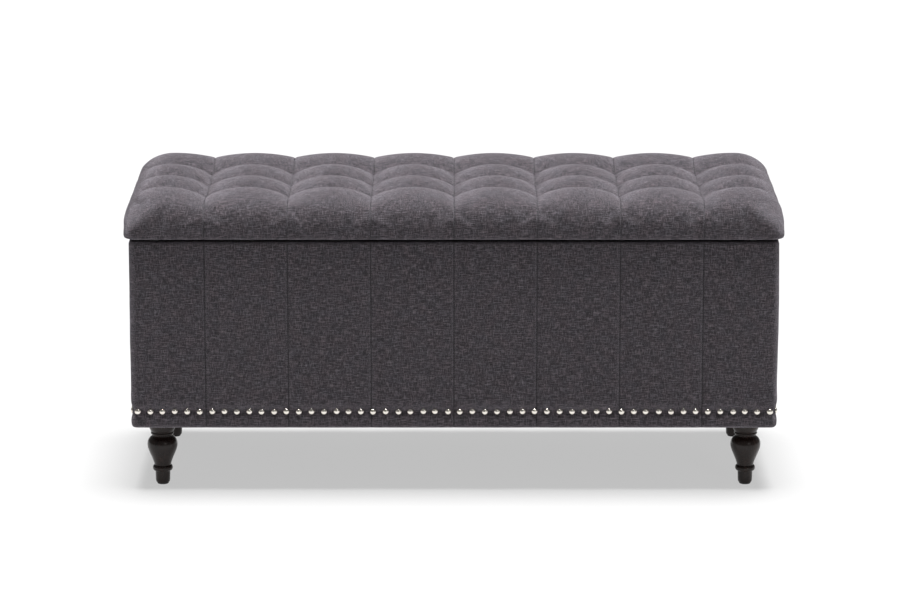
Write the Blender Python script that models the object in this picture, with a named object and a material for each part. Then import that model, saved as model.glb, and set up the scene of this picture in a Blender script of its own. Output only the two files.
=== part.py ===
"""Upholstered storage bench: a padded plywood box on four turned legs, with a thick cushioned lid on two butt hinges
and two slotted lid stays. Metres, +Z up, +X to the sitter's right as seen from the front, front towards -Y.
The origin is on the floor, under the middle of the overall box."""

import math

import bmesh
import bpy
from mathutils import Matrix, Vector

# ---- Driving dimensions --------------------------------------------------------------------------------------------

MM = 0.001
GAP = 0.3 * MM  # left between pieces that touch

BODY_W, BODY_D = 1.220, 0.470  # the box, over its fabric
LID_W = 1.240
LID_OVERHANG = 0.010  # over the front and the two ends; the back is flush
LEG_H = 0.122
BOX_TOP = 0.4815
LID_BOTTOM = 0.486
LID_TOP = 0.575
SIDES = {"left": -1, "right": 1}

# Butt hinges, with their knuckles just behind the back of the box
KNUCKLE_R = 3.0 * MM
AXIS_BEHIND = 4.0 * MM
HINGE_X = 0.420
LEAF_L, LEAF_D, LEAF_T = 0.064, 0.028, 1.5 * MM

OVERALL_D = LID_OVERHANG + BODY_D + AXIS_BEHIND + KNUCKLE_R
FRONT = LID_OVERHANG - OVERALL_D / 2
BACK = FRONT + BODY_D
HALF_W = BODY_W / 2
HINGE_Y = BACK + AXIS_BEHIND
HINGE_Z = (BOX_TOP + LID_BOTTOM) / 2
HINGE = Vector((0, HINGE_Y, HINGE_Z))

# Layers of the box, as depths from its outer face
COVER_T, PAD_T, BOARD_T, LINING_T = 1.5 * MM, 8.0 * MM, 15.0 * MM, 1.2 * MM
PAD_OUT = COVER_T + GAP
PAD_IN = PAD_OUT + PAD_T
BOARD_OUT = PAD_IN + GAP
BOARD_IN = BOARD_OUT + BOARD_T
LINING_OUT = BOARD_IN + GAP
LINING_IN = LINING_OUT + LINING_T

# Layers of the box, as heights
PANEL_LOW = LEG_H + COVER_T + GAP
PANEL_HIGH = BOX_TOP - COVER_T - GAP
DUST_T = 1.0 * MM
BLOCK_SIDE, BLOCK_H = 0.060, 0.030
BLOCK_TOP = PANEL_LOW + BLOCK_H
FLOOR_LOW = BLOCK_TOP + GAP
FLOOR_T = 12.0 * MM
LINING_LOW = FLOOR_LOW + FLOOR_T + GAP
LINING_HIGH = BOX_TOP - 0.010

# Legs stand this far in from the faces of the box
LEG_INSET = 0.0543
LEG_TOP = LEG_H - GAP
GLIDE_H = 3.0 * MM

# Nailhead trim
NAIL_Z = 0.154
NAIL_R, NAIL_H = 6.0 * MM, 3.9 * MM
NAILS_ACROSS, NAILS_ALONG = 52, 20
NAIL_FROM_CORNER = 12.5 * MM

# Lid layers and cushion outline
LID_HEM = LID_BOTTOM + LINING_T + GAP
LID_BOARD_LOW = LID_HEM + COVER_T + GAP
LID_BOARD_HIGH = LID_BOARD_LOW + BOARD_T
ROLL_D, ROLL_H = 0.070, 0.055  # the quarter-ellipse roll along the cushion's top edge
LID_CORNER = 0.030
CROWN = 2.0 * MM

# Slotted lid stays: the stud and the arm's pivot are equally far from the hinge axis, so an arm turns half as fast
# as the lid
STAY_RADIUS = 0.160
STUD_ANGLE = math.radians(30)
PIVOT_DROP = 0.013
PIVOT_ANGLE = math.asin(PIVOT_DROP / STAY_RADIUS)
LID_OPEN = math.radians(85)
STUD_AT = Vector((0, -STAY_RADIUS * math.cos(STUD_ANGLE), -STAY_RADIUS * math.sin(STUD_ANGLE))) + HINGE
PIVOT_AT = Vector((0, -STAY_RADIUS * math.cos(PIVOT_ANGLE), -PIVOT_DROP)) + HINGE
REACH_SHUT = 2 * STAY_RADIUS * math.sin((STUD_ANGLE - PIVOT_ANGLE) / 2)
REACH_OPEN = 2 * STAY_RADIUS * math.sin((STUD_ANGLE - PIVOT_ANGLE + LID_OPEN) / 2)
ARM_HALF_W, ARM_T = 8.0 * MM, 2.0 * MM
STUD_R, RIVET_R = 3.0 * MM, 2.5 * MM
ARM_OUT = 0.5785  # the arm's outer face, as a distance from the middle of the bench


# ---- Scene and materials -------------------------------------------------------------------------------------------

for leftover in list(bpy.data.objects):
    bpy.data.objects.remove(leftover, do_unlink=True)


def finish_of(name, colour, roughness, metallic=0.0):
    """A Principled material."""
    made = bpy.data.materials.new(name)
    made.use_nodes = True
    shader = made.node_tree.nodes["Principled BSDF"]
    shader.inputs["Base Color"].default_value = (*colour, 1)
    shader.inputs["Roughness"].default_value = roughness
    shader.inputs["Metallic"].default_value = metallic
    return made


LINEN = finish_of("charcoal_linen", (0.118, 0.108, 0.118), 0.95)
LINING = finish_of("black_lining", (0.020, 0.020, 0.021), 0.90)
FOAM = finish_of("foam", (0.72, 0.68, 0.52), 0.95)
PLYWOOD = finish_of("plywood", (0.50, 0.36, 0.22), 0.70)
ESPRESSO = finish_of("espresso_lacquer", (0.022, 0.015, 0.012), 0.35)
NICKEL = finish_of("polished_nickel", (0.80, 0.78, 0.74), 0.18, 1.0)
STEEL = finish_of("zinc_steel", (0.60, 0.60, 0.58), 0.40, 1.0)
BLACK_STEEL = finish_of("black_steel", (0.030, 0.030, 0.032), 0.45, 1.0)
NYLON = finish_of("black_nylon", (0.025, 0.025, 0.025), 0.55)


# ---- Making solids -------------------------------------------------------------------------------------------------


def add(name, shape, material, origin=None, parent=None):
    """Puts a bmesh drawn in world coordinates into the scene, with its origin where it is asked for."""
    origin = Vector() if origin is None else origin
    bmesh.ops.recalc_face_normals(shape, faces=shape.faces)
    bmesh.ops.translate(shape, vec=-origin, verts=shape.verts)
    mesh = bpy.data.meshes.new(name)
    shape.to_mesh(mesh)
    shape.free()
    mesh.shade_smooth()
    mesh.set_sharp_from_angle(angle=math.radians(35))
    mesh.materials.append(material)
    piece = bpy.data.objects.new(name, mesh)
    bpy.context.scene.collection.objects.link(piece)
    piece.parent = parent
    piece.location = origin - (parent.location if parent else Vector())
    return piece


def tool(name, shape):
    """A helper for a Boolean, which isn't part of the bench."""
    helper = add(name, shape, STEEL)
    helper.hide_render = True
    helper.display_type = "WIRE"
    return helper


def combine(piece, operation, helper):
    """Adds or cuts a helper."""
    boolean = piece.modifiers.new(helper.name, "BOOLEAN")
    boolean.operation = operation
    boolean.solver = "EXACT"
    boolean.object = helper


def cuboid(low, high, into=None):
    """A box between two corners."""
    shape = into or bmesh.new()
    low, high = Vector(low), Vector(high)
    place = Matrix.Translation((low + high) / 2) @ Matrix.Diagonal((*(high - low), 1))
    bmesh.ops.create_cube(shape, size=1, matrix=place)
    return shape


def slab(low, high, round_off=0.0, steps=2, along=None):
    """A box between two corners, with its edges rounded: all of them, or those parallel to one axis."""
    shape = cuboid([min(a, b) for a, b in zip(low, high)], [max(a, b) for a, b in zip(low, high)])
    if round_off:
        edges = []
        for edge in shape.edges:
            run = (edge.verts[1].co - edge.verts[0].co).normalized()
            if along is None or abs(run.dot(Vector(along))) > 0.9:
                edges.append(edge)
        bmesh.ops.bevel(
            shape, geom=edges, offset=round_off, segments=steps, profile=0.5, affect="EDGES", clamp_overlap=True
        )
    return shape


def turned(profile, centre, axis, steps):
    """A profile of (radius, distance along the axis), spun round the axis. It starts and ends at radius 0."""
    shape = bmesh.new()
    axis = Vector(axis)
    outwards = Vector((0, 1, 0)) if abs(axis.x) > 0.5 else Vector((1, 0, 0))
    points = [shape.verts.new(Vector(centre) + axis * h + outwards * r) for r, h in profile]
    edges = [shape.edges.new(pair) for pair in zip(points, points[1:])]
    bmesh.ops.spin(
        shape, geom=points + edges, cent=centre, axis=axis, angle=math.tau, steps=steps, use_merge=True
    )
    bmesh.ops.remove_doubles(shape, verts=shape.verts, dist=0.001 * MM)
    return shape


def rod(radius, start, end, centre, axis, steps=12):
    """A plain cylinder."""
    return turned([(0, start), (radius, start), (radius, end), (0, end)], centre, axis, steps)


def prism(outline, x_low, x_high):
    """An outline of (y, z) points, extruded along X."""
    shape = bmesh.new()
    face = shape.faces.new([shape.verts.new((x_low, y, z)) for y, z in outline])
    grown = bmesh.ops.extrude_face_region(shape, geom=[face])
    moved = [item for item in grown["geom"] if isinstance(item, bmesh.types.BMVert)]
    bmesh.ops.translate(shape, vec=(x_high - x_low, 0, 0), verts=moved)
    return shape


def stadium(start, end, radius, steps=6):
    """The outline of a slot or an arm along -Z, from one centre height to the other, as (y, z) points."""
    turns = [math.pi * i / steps for i in range(steps + 1)]
    top = [(radius * math.cos(t), -start + radius * math.sin(t)) for t in turns]
    bottom = [(-radius * math.cos(t), -end - radius * math.sin(t)) for t in turns]
    return top + bottom


def round_rectangle(half_w, low_y, high_y, inset, corner, z, steps=4):
    """A loop of points: a rectangle with round corners, drawn in by an inset."""
    radius = max(corner - inset, 1.5 * MM)
    x, y0, y1 = half_w - inset - radius, low_y + inset + radius, high_y - inset - radius
    loop = []
    for quarter, (cx, cy) in enumerate([(x, y1), (-x, y1), (-x, y0), (x, y0)]):
        for i in range(steps + 1):
            turn = math.radians(90) * (quarter + i / steps)
            loop.append(Vector((cx + radius * math.cos(turn), cy + radius * math.sin(turn), z)))
    return loop


def loft(loops, closed):
    """Quads between each loop of points and the next. Closed loops join last to first; open ones get end caps."""
    shape = bmesh.new()
    rings = [[shape.verts.new(point) for point in loop] for loop in loops]
    pairs = list(zip(rings, rings[1:])) + ([(rings[-1], rings[0])] if closed else [])
    for one, two in pairs:
        for i in range(len(one)):
            j = (i + 1) % len(one)
            shape.faces.new((one[i], one[j], two[j], two[i]))
    if not closed:
        shape.faces.new(rings[0])
        shape.faces.new(rings[-1])
    return shape


# ---- The box: boards, padding, fabric cover and linings ------------------------------------------------------------


def make_boards():
    """Front and back boards run the whole width; the end boards and the floor fit between them."""
    out_x, in_x = HALF_W - BOARD_OUT, HALF_W - BOARD_IN
    spans = {"front_board": (FRONT + BOARD_OUT, FRONT + BOARD_IN), "back_board": (BACK - BOARD_IN, BACK - BOARD_OUT)}
    for name, (y0, y1) in spans.items():
        add(name, slab((-out_x, y0, PANEL_LOW), (out_x, y1, PANEL_HIGH)), PLYWOOD)
    inside = FRONT + BOARD_IN + GAP, BACK - BOARD_IN - GAP
    for side, sign in SIDES.items():
        low, high = (sign * in_x, inside[0], PANEL_LOW), (sign * out_x, inside[1], PANEL_HIGH)
        add(f"{side}_end_board", slab(low, high), PLYWOOD)
    edge = in_x - GAP
    floor = slab((-edge, inside[0], FLOOR_LOW), (edge, inside[1], FLOOR_LOW + FLOOR_T))
    add("floor_board", floor, PLYWOOD)


def make_padding():
    """Foam on the four outer faces, its front and back sheets lapping the ends."""
    pad_round = 7.9 * MM
    wide = HALF_W - PAD_OUT
    for name, outer, inner in (
        ("front_padding", FRONT + PAD_OUT, FRONT + PAD_IN),
        ("back_padding", BACK - PAD_OUT, BACK - PAD_IN),
    ):
        shape = slab((-wide, outer, PANEL_LOW + GAP), (wide, inner, PANEL_HIGH - GAP))
        on_corner = [
            edge
            for edge in shape.edges
            if all(abs(v.co.y - outer) < GAP and abs(abs(v.co.x) - wide) < GAP for v in edge.verts)
        ]
        bmesh.ops.bevel(shape, geom=on_corner, offset=pad_round, segments=4, profile=0.5, affect="EDGES")
        add(name, shape, FOAM)
    for side, sign in SIDES.items():
        low = (sign * (HALF_W - PAD_IN), FRONT + PAD_IN + GAP, PANEL_LOW + GAP)
        high = (sign * (HALF_W - PAD_OUT), BACK - PAD_IN - GAP, PANEL_HIGH - GAP)
        add(f"{side}_padding", slab(low, high), FOAM)


def make_box_cover():
    """The fabric sleeve: round the four sides, over the top edge of the boards and under their bottom edge."""
    corner, fold = 9.0 * MM, 1.5 * MM
    top_hem, bottom_hem = 23.5 * MM, 30.0 * MM
    outside = [
        (bottom_hem, LEG_H),
        (fold, LEG_H),
        (0, LEG_H + fold),
        (0, BOX_TOP - fold),
        (fold, BOX_TOP),
        (top_hem, BOX_TOP),
    ]
    inside = [
        (top_hem, BOX_TOP - COVER_T),
        (COVER_T, BOX_TOP - COVER_T),
        (COVER_T, LEG_H + COVER_T),
        (bottom_hem, LEG_H + COVER_T),
    ]
    loops = [round_rectangle(HALF_W, FRONT, BACK, inset, corner, z) for inset, z in outside + inside]
    add("box_cover", loft(loops, closed=True), LINEN)


def make_box_lining():
    """A black fabric tray over the inside of the boards and the floor."""
    shape = bmesh.new()
    rims = []
    for inset, floor in ((LINING_OUT, LINING_LOW), (LINING_IN, LINING_LOW + LINING_T)):
        x, y0, y1 = HALF_W - inset, FRONT + inset, BACK - inset
        corners = [(-x, y0), (x, y0), (x, y1), (-x, y1)]
        low = [shape.verts.new((*corner, floor)) for corner in corners]
        high = [shape.verts.new((*corner, LINING_HIGH)) for corner in corners]
        shape.faces.new(low)
        for i in range(4):
            j = (i + 1) % 4
            shape.faces.new((low[i], low[j], high[j], high[i]))
        rims.append(high)
    for i in range(4):
        j = (i + 1) % 4
        shape.faces.new((rims[0][i], rims[0][j], rims[1][j], rims[1][i]))
    add("box_lining", shape, LINING)


def make_dust_cover():
    """Black cloth stapled under the box inside the fabric's hem, with a hole for each leg bolt."""
    inset = 31.0 * MM
    low = LEG_H + GAP
    sheet = slab((-HALF_W + inset, FRONT + inset, low), (HALF_W - inset, BACK - inset, low + DUST_T))
    cover = add("dust_cover", sheet, LINING)
    for name, at in leg_places().items():
        hole = tool(f"dust_hole_{name}", rod(4.2 * MM, low - DUST_T, low + 2 * DUST_T, at, (0, 0, 1), 8))
        combine(cover, "DIFFERENCE", hole)


# ---- Legs and what holds them --------------------------------------------------------------------------------------


def leg_places():
    """Where each leg stands on the floor."""
    x = HALF_W - LEG_INSET
    rows = {"front": FRONT + LEG_INSET, "back": BACK - LEG_INSET}
    return {f"{row}_{side}": Vector((sign * x, y, 0)) for row, y in rows.items() for side, sign in SIDES.items()}


BOLT_R = 3.7 * MM
BOLT_IN_LEG = 0.036
LEG_OUTLINE = [  # (radius, height) in millimetres, from the top plate down to the foot
    (25.0, 121.7),
    (25.5, 111.0),
    (24.4, 106.0),
    (20.6, 99.0),
    (21.2, 96.0),
    (20.6, 93.5),
    (22.0, 91.5),
    (26.6, 87.0),
    (28.7, 80.0),
    (27.8, 72.0),
    (24.6, 63.5),
    (20.6, 55.0),
    (17.4, 47.0),
    (15.8, 39.5),
    (18.3, 36.5),
    (19.0, 32.0),
    (17.6, 26.5),
    (14.1, 24.0),
    (13.4, 8.0),
    (12.4, 3.3),
]


def make_legs():
    """Four turned legs, each on a nylon glide, with a hanger bolt up into a tee nut in its corner block."""
    for name, at in leg_places().items():
        bore = BOLT_R + GAP
        outline = [(r * MM, z * MM) for r, z in LEG_OUTLINE]
        bolt_hole = [(0, LEG_TOP - BOLT_IN_LEG - GAP), (bore, LEG_TOP - BOLT_IN_LEG - GAP), (bore, LEG_TOP)]
        glide_hole = [(2.3 * MM, GLIDE_H + GAP), (2.3 * MM, 0.014), (0, 0.014)]
        add(f"leg_{name}", turned(bolt_hole + outline + glide_hole, at, (0, 0, 1), 16), ESPRESSO, at)

        stem = 2.0 * MM
        glide = [(0, 0), (10.0 * MM, 0), (11.0 * MM, 1.0 * MM), (11.0 * MM, GLIDE_H), (stem, GLIDE_H)]
        glide += [(stem, 0.0135), (0, 0.0135)]
        add(f"foot_glide_{name}", turned(glide, at, (0, 0, 1), 12), NYLON, at)

        bolt = rod(BOLT_R, LEG_TOP - BOLT_IN_LEG, BLOCK_TOP - 2.0 * MM, at, (0, 0, 1), 10)
        add(f"hanger_bolt_{name}", bolt, STEEL, at)
        make_corner_block(name, at)


def make_corner_block(name, at):
    """A square block under the floor board, counterbored from above for its tee nut."""
    barrel_r, flange_r, flange_t, barrel_l = 5.0 * MM, 11.0 * MM, 1.5 * MM, 0.013
    sign_x, sign_y = math.copysign(1, at.x), math.copysign(1, at.y)
    outer_x = sign_x * (HALF_W - BOARD_IN - GAP)
    outer_y = (BACK if sign_y > 0 else FRONT) - sign_y * (BOARD_IN + GAP)
    low = (outer_x, outer_y, PANEL_LOW)
    high = (outer_x - sign_x * BLOCK_SIDE, outer_y - sign_y * BLOCK_SIDE, BLOCK_TOP)
    block = add(f"corner_block_{name}", slab(low, high), PLYWOOD)
    seat = BLOCK_TOP - flange_t - GAP
    bore = [(0, PANEL_LOW - MM), (barrel_r + GAP, PANEL_LOW - MM), (barrel_r + GAP, seat)]
    bore += [(flange_r + GAP, seat), (flange_r + GAP, BLOCK_TOP + MM), (0, BLOCK_TOP + MM)]
    combine(block, "DIFFERENCE", tool(f"block_bore_{name}", turned(bore, at, (0, 0, 1), 12)))

    thread_r, top = BOLT_R + GAP, BLOCK_TOP
    shape = bmesh.new()
    section = [(thread_r, top), (flange_r, top), (flange_r, top - flange_t), (barrel_r, top - flange_t)]
    section += [(barrel_r, top - barrel_l), (thread_r, top - barrel_l)]
    rings = []
    for r, z in section:
        turns = [math.tau * i / 12 for i in range(12)]
        rings.append([at + Vector((r * math.cos(t), r * math.sin(t), z)) for t in turns])
    shape = loft(rings, closed=True)
    add(f"tee_nut_{name}", shape, STEEL, at)


# ---- Nailhead trim -------------------------------------------------------------------------------------------------


def make_nail_row(name, first, last, count, outwards):
    """Domed nails a pitch apart, joined by a thin band, standing just off the fabric."""
    first, last, outwards = Vector(first), Vector(last), Vector(outwards)
    domes = bmesh.new()
    section = [(0, GAP), (NAIL_R, GAP), (0.7 * NAIL_R, 0.72 * NAIL_H), (0, NAIL_H)]
    for i in range(count):
        dome = turned(section, first.lerp(last, i / (count - 1)), outwards, 8)
        copy = bpy.data.meshes.new("dome")
        dome.to_mesh(copy)
        dome.free()
        domes.from_mesh(copy)
        bpy.data.meshes.remove(copy)
    run = (last - first).normalized()
    half, up = 2.0 * MM * run, Vector((0, 0, 1.5 * MM))
    ends = [first - half - up + outwards * 0.6 * MM, last + half + up + outwards * 1.2 * MM]
    band = slab(*ends)
    row = add(name, band, NICKEL)
    combine(row, "UNION", tool(f"{name}_domes", domes))


def make_nail_rows():
    """One row across the front and one along each end."""
    x = HALF_W - NAIL_FROM_CORNER
    make_nail_row("front_nail_row", (-x, FRONT, NAIL_Z), (x, FRONT, NAIL_Z), NAILS_ACROSS, (0, -1, 0))
    low, high = FRONT + NAIL_FROM_CORNER, BACK - NAIL_FROM_CORNER
    for side, sign in SIDES.items():
        ends = (sign * HALF_W, low, NAIL_Z), (sign * HALF_W, high, NAIL_Z)
        make_nail_row(f"{side}_nail_row", *ends, NAILS_ALONG, (sign, 0, 0))


# ---- Lid -----------------------------------------------------------------------------------------------------------


def cushion_outline(inset):
    """(depth, height) of the cushion's skin from its upright side to its crown, drawn in by an inset."""
    centre = LID_TOP - CROWN - ROLL_H
    arc = []
    for i in range(6):
        turn = math.radians(90) * i / 5
        across, up = (ROLL_D - inset) * math.cos(turn), (ROLL_H - inset) * math.sin(turn)
        arc.append((ROLL_D - across, centre + up))
    return arc + [(0.200, LID_TOP - inset)]


def lid_loop(inset, z):
    """A loop round the lid. It overhangs the front and the ends of the box, and is flush with its back."""
    return round_rectangle(LID_W / 2, FRONT - LID_OVERHANG, BACK, inset, LID_CORNER, z, steps=4)


def make_lid(pivot):
    """Board, foam, fabric cover turned under the board's edge, and a lining over the hem."""
    board_inset, hem = 4.0 * MM, 45.0 * MM
    edge = LID_W / 2 - board_inset
    low = (-edge, FRONT - LID_OVERHANG + board_inset, LID_BOARD_LOW)
    high = (edge, BACK - board_inset, LID_BOARD_HIGH)
    board = slab(low, high, LID_CORNER - board_inset, 3, (0, 0, 1))
    add("lid_board", board, PLYWOOD, HINGE, pivot)

    foam_low = LID_BOARD_HIGH + GAP
    skin = COVER_T + GAP
    foam = [lid_loop(skin, foam_low)] + [lid_loop(inset, z) for inset, z in cushion_outline(skin)]
    add("lid_foam", loft(foam, closed=False), FOAM, HINGE, pivot)

    fold = 3.0 * MM
    outside = [(hem, LID_HEM), (fold, LID_HEM), (0, LID_HEM + fold)] + cushion_outline(0)
    inside = [(hem, LID_HEM + COVER_T), (fold, LID_HEM + COVER_T), (COVER_T, LID_HEM + fold)]
    inside += cushion_outline(COVER_T)
    cover = [lid_loop(inset, z) for inset, z in outside[::-1] + inside]
    add("lid_cover", loft(cover, closed=False), LINEN, HINGE, pivot)

    margin = 0.014
    x = LID_W / 2 - margin
    low, high = (-x, FRONT - LID_OVERHANG + margin, LID_BOTTOM), (x, BACK - margin, LID_BOTTOM + LINING_T)
    add("lid_lining", slab(low, high), LINING, HINGE, pivot)


def make_bumpers():
    """Two felt discs near the front corners keep the lid level with its hinges."""
    at_x, from_front, radius = 0.560, 0.014, 8.0 * MM
    for side, sign in SIDES.items():
        centre = (sign * at_x, FRONT + from_front, 0)
        disc = rod(radius, BOX_TOP + GAP, LID_BOTTOM - GAP, centre, (0, 0, 1), 12)
        add(f"lid_bumper_{side}", disc, LINING)


# ---- Hinges --------------------------------------------------------------------------------------------------------


def rolled_knuckle(upwards):
    """The (y, z) outline of a strip rolled round the pin, with its tail reaching back into the plate."""
    inner_r, tail_end = 1.8 * MM, -5.0 * MM
    tail_low, tail_high = -(HINGE_Z - BOX_TOP - GAP) + 0.05 * MM, -(HINGE_Z - BOX_TOP - GAP) + LEAF_T - 0.05 * MM
    turns = [math.radians(219 + i * (532 - 219) / 10) for i in range(11)]
    outline = [(tail_end, tail_high), (tail_end, tail_low), (-math.sqrt(KNUCKLE_R**2 - tail_low**2), tail_low)]
    outline += [(KNUCKLE_R * math.cos(t), KNUCKLE_R * math.sin(t)) for t in turns[1:]]
    outline += [(inner_r * math.cos(t), inner_r * math.sin(t)) for t in turns[:0:-1]]
    outline += [(-math.sqrt(inner_r**2 - tail_high**2), tail_high)]
    return [(HINGE_Y + y, HINGE_Z + (-z if upwards else z)) for y, z in outline]


def make_leaf(name, middle, z_low, own, material, origin=None, parent=None):
    """A plate drilled for three screws, with its own share of the five knuckles rolled round the pin."""
    pitch, screw_r = LEAF_L / 5, 2.2 * MM
    near, far = HINGE_Y - KNUCKLE_R - MM, HINGE_Y - LEAF_D
    plate = cuboid((middle - LEAF_L / 2, far, z_low), (middle + LEAF_L / 2, near, z_low + LEAF_T))
    leaf = add(name, plate, material, origin, parent)
    for i in (-1, 0, 1):
        at = (middle + i * LEAF_L / 3, HINGE_Y - LEAF_D * 0.58, z_low)
        combine(leaf, "DIFFERENCE", tool(f"{name}_screw_{i}", rod(screw_r, -MM, 3 * MM, at, (0, 0, 1), 8)))
    for i in own:
        start = middle - LEAF_L / 2 + i * pitch
        knuckle = prism(rolled_knuckle(z_low > HINGE_Z), start + 0.2 * MM, start + pitch - 0.2 * MM)
        combine(leaf, "UNION", tool(f"{name}_knuckle_{i}", knuckle))


def make_hinges(pivot):
    """Two butt hinges: one leaf on the box's back edge, one under the lid, and the pin between them."""
    pin_r, head_r, head_t = 1.5 * MM, 2.6 * MM, 1.0 * MM
    for side, sign in SIDES.items():
        middle = sign * HINGE_X
        make_leaf(f"hinge_{side}_box_leaf", middle, BOX_TOP + GAP, (0, 2, 4), STEEL)
        lid_leaf_z = LID_BOTTOM - GAP - LEAF_T
        make_leaf(f"hinge_{side}_lid_leaf", middle, lid_leaf_z, (1, 3), STEEL, HINGE, pivot)
        end = LEAF_L / 2 + GAP
        section = [(0, -end - head_t), (head_r, -end - head_t), (head_r, -end), (pin_r, -end)]
        section += [(r, -h) for r, h in section[::-1]]
        pin = turned(section, (middle, HINGE_Y, HINGE_Z), (1, 0, 0), 10)
        add(f"hinge_{side}_pin", pin, STEEL)


# ---- Slotted lid stays ---------------------------------------------------------------------------------------------


def make_stays(pivot):
    """On each end: a stud on the box, an arm that slides over it, and the bracket and rivet that hang it on the lid."""
    lining_x = HALF_W - LINING_IN
    plate_t, plate_y, plate_z = 2.0 * MM, 0.012, 0.020
    play = 0.5 * MM
    for side, sign in SIDES.items():
        plate_out = lining_x - GAP
        plate_in = plate_out - plate_t
        low = (sign * plate_in, STUD_AT.y - plate_y, STUD_AT.z - plate_z)
        high = (sign * plate_out, STUD_AT.y + plate_y, STUD_AT.z + plate_z)
        stud = add(f"stay_stud_{side}", slab(low, high), BLACK_STEEL)
        shoulder, arm_in = ARM_OUT + play, ARM_OUT - ARM_T
        head_in = arm_in - play - 2.0 * MM
        section = [(0, plate_in + MM), (5.0 * MM, plate_in + MM), (5.0 * MM, shoulder), (STUD_R, shoulder)]
        section += [(STUD_R, arm_in - play), (6.5 * MM, arm_in - play), (6.5 * MM, head_in), (0, head_in)]
        spindle = turned(section, (0, STUD_AT.y, STUD_AT.z), (sign, 0, 0), 12)
        combine(stud, "UNION", tool(f"stay_spindle_{side}", spindle))

        make_bracket(side, sign, pivot, arm_in)
        make_arm(side, sign, pivot)


def make_bracket(side, sign, pivot, arm_in):
    """An angle bracket under the lid, with the rivet on which the arm turns."""
    tab_out = arm_in - 1.0 * MM
    tab_in = tab_out - 2.0 * MM
    top = LID_BOTTOM - GAP
    flange_t, flange_in, half_y, tab_half = 2.0 * MM, tab_in - 0.012, 0.020, 9.0 * MM
    low = (sign * flange_in, PIVOT_AT.y - half_y, top - flange_t)
    high = (sign * tab_out, PIVOT_AT.y + half_y, top)
    bracket = add(f"stay_bracket_{side}", slab(low, high), BLACK_STEEL, HINGE, pivot)
    tab = stadium(-0.010, 0, tab_half)
    outline = [(PIVOT_AT.y + y, min(PIVOT_AT.z + z, top - 0.5 * MM)) for y, z in tab]
    lower = [(y, z) for y, z in outline if z < PIVOT_AT.z + 0.1 * MM]
    outline = [(PIVOT_AT.y + tab_half, top - 0.5 * MM), (PIVOT_AT.y - tab_half, top - 0.5 * MM)] + lower
    ends = sorted((sign * tab_in, sign * tab_out))
    combine(bracket, "UNION", tool(f"bracket_tab_{side}", prism(outline, *ends)))
    hole = rod(RIVET_R + GAP, tab_in - MM, tab_out + MM, (0, PIVOT_AT.y, PIVOT_AT.z), (sign, 0, 0))
    combine(bracket, "DIFFERENCE", tool(f"bracket_hole_{side}", hole))

    head_r, head_t = 4.5 * MM, 1.3 * MM
    inner, outer = tab_in - GAP, ARM_OUT + GAP
    section = [(0, inner - head_t), (head_r, inner - head_t), (head_r, inner), (RIVET_R, inner)]
    section += [(RIVET_R, outer), (head_r, outer), (head_r, outer + head_t), (0, outer + head_t)]
    rivet = turned(section, (0, PIVOT_AT.y, PIVOT_AT.z), (sign, 0, 0), 12)
    add(f"stay_rivet_{side}", rivet, STEEL, HINGE, pivot)


def make_arm(side, sign, pivot):
    """A flat bar with a rivet hole at its top and a long slot, hung on the lid so that it points at the stud."""
    slot_r, slack, past_stud = STUD_R + 0.4 * MM, 1.5 * MM, 4.0 * MM
    start = PIVOT_AT.copy()
    start.x = sign * ARM_OUT
    ends = sorted((0.0, -sign * ARM_T))
    arm = add(f"stay_arm_{side}", prism(stadium(0, REACH_OPEN + past_stud, ARM_HALF_W), *ends), BLACK_STEEL)
    beyond = [end + math.copysign(MM, end - sum(ends) / 2) for end in ends]
    slot = tool(f"arm_slot_{side}", prism(stadium(REACH_SHUT - slack, REACH_OPEN + slack, slot_r), *beyond))
    hole = tool(f"arm_hole_{side}", rod(RIVET_R + GAP, beyond[0], beyond[1], (0, 0, 0), (1, 0, 0)))
    towards_stud = STUD_AT - PIVOT_AT
    lean = math.atan2(towards_stud.y, -towards_stud.z)
    for piece in (arm, slot, hole):
        piece.location = start
        piece.rotation_euler = (lean, 0, 0)
    combine(arm, "DIFFERENCE", slot)
    combine(arm, "DIFFERENCE", hole)
    for piece in (arm, slot, hole):
        piece.parent = pivot
        piece.location = start - pivot.location


# ---- Assembly ------------------------------------------------------------------------------------------------------


def main():
    lid_pivot = bpy.data.objects.new("lid_pivot", None)
    bpy.context.scene.collection.objects.link(lid_pivot)
    lid_pivot.location = HINGE
    make_boards()
    make_padding()
    make_box_cover()
    make_box_lining()
    make_dust_cover()
    make_legs()
    make_nail_rows()
    make_bumpers()
    make_lid(lid_pivot)
    make_hinges(lid_pivot)
    make_stays(lid_pivot)


main()
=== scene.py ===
import math
import random

import bpy
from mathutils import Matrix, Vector, noise


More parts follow.
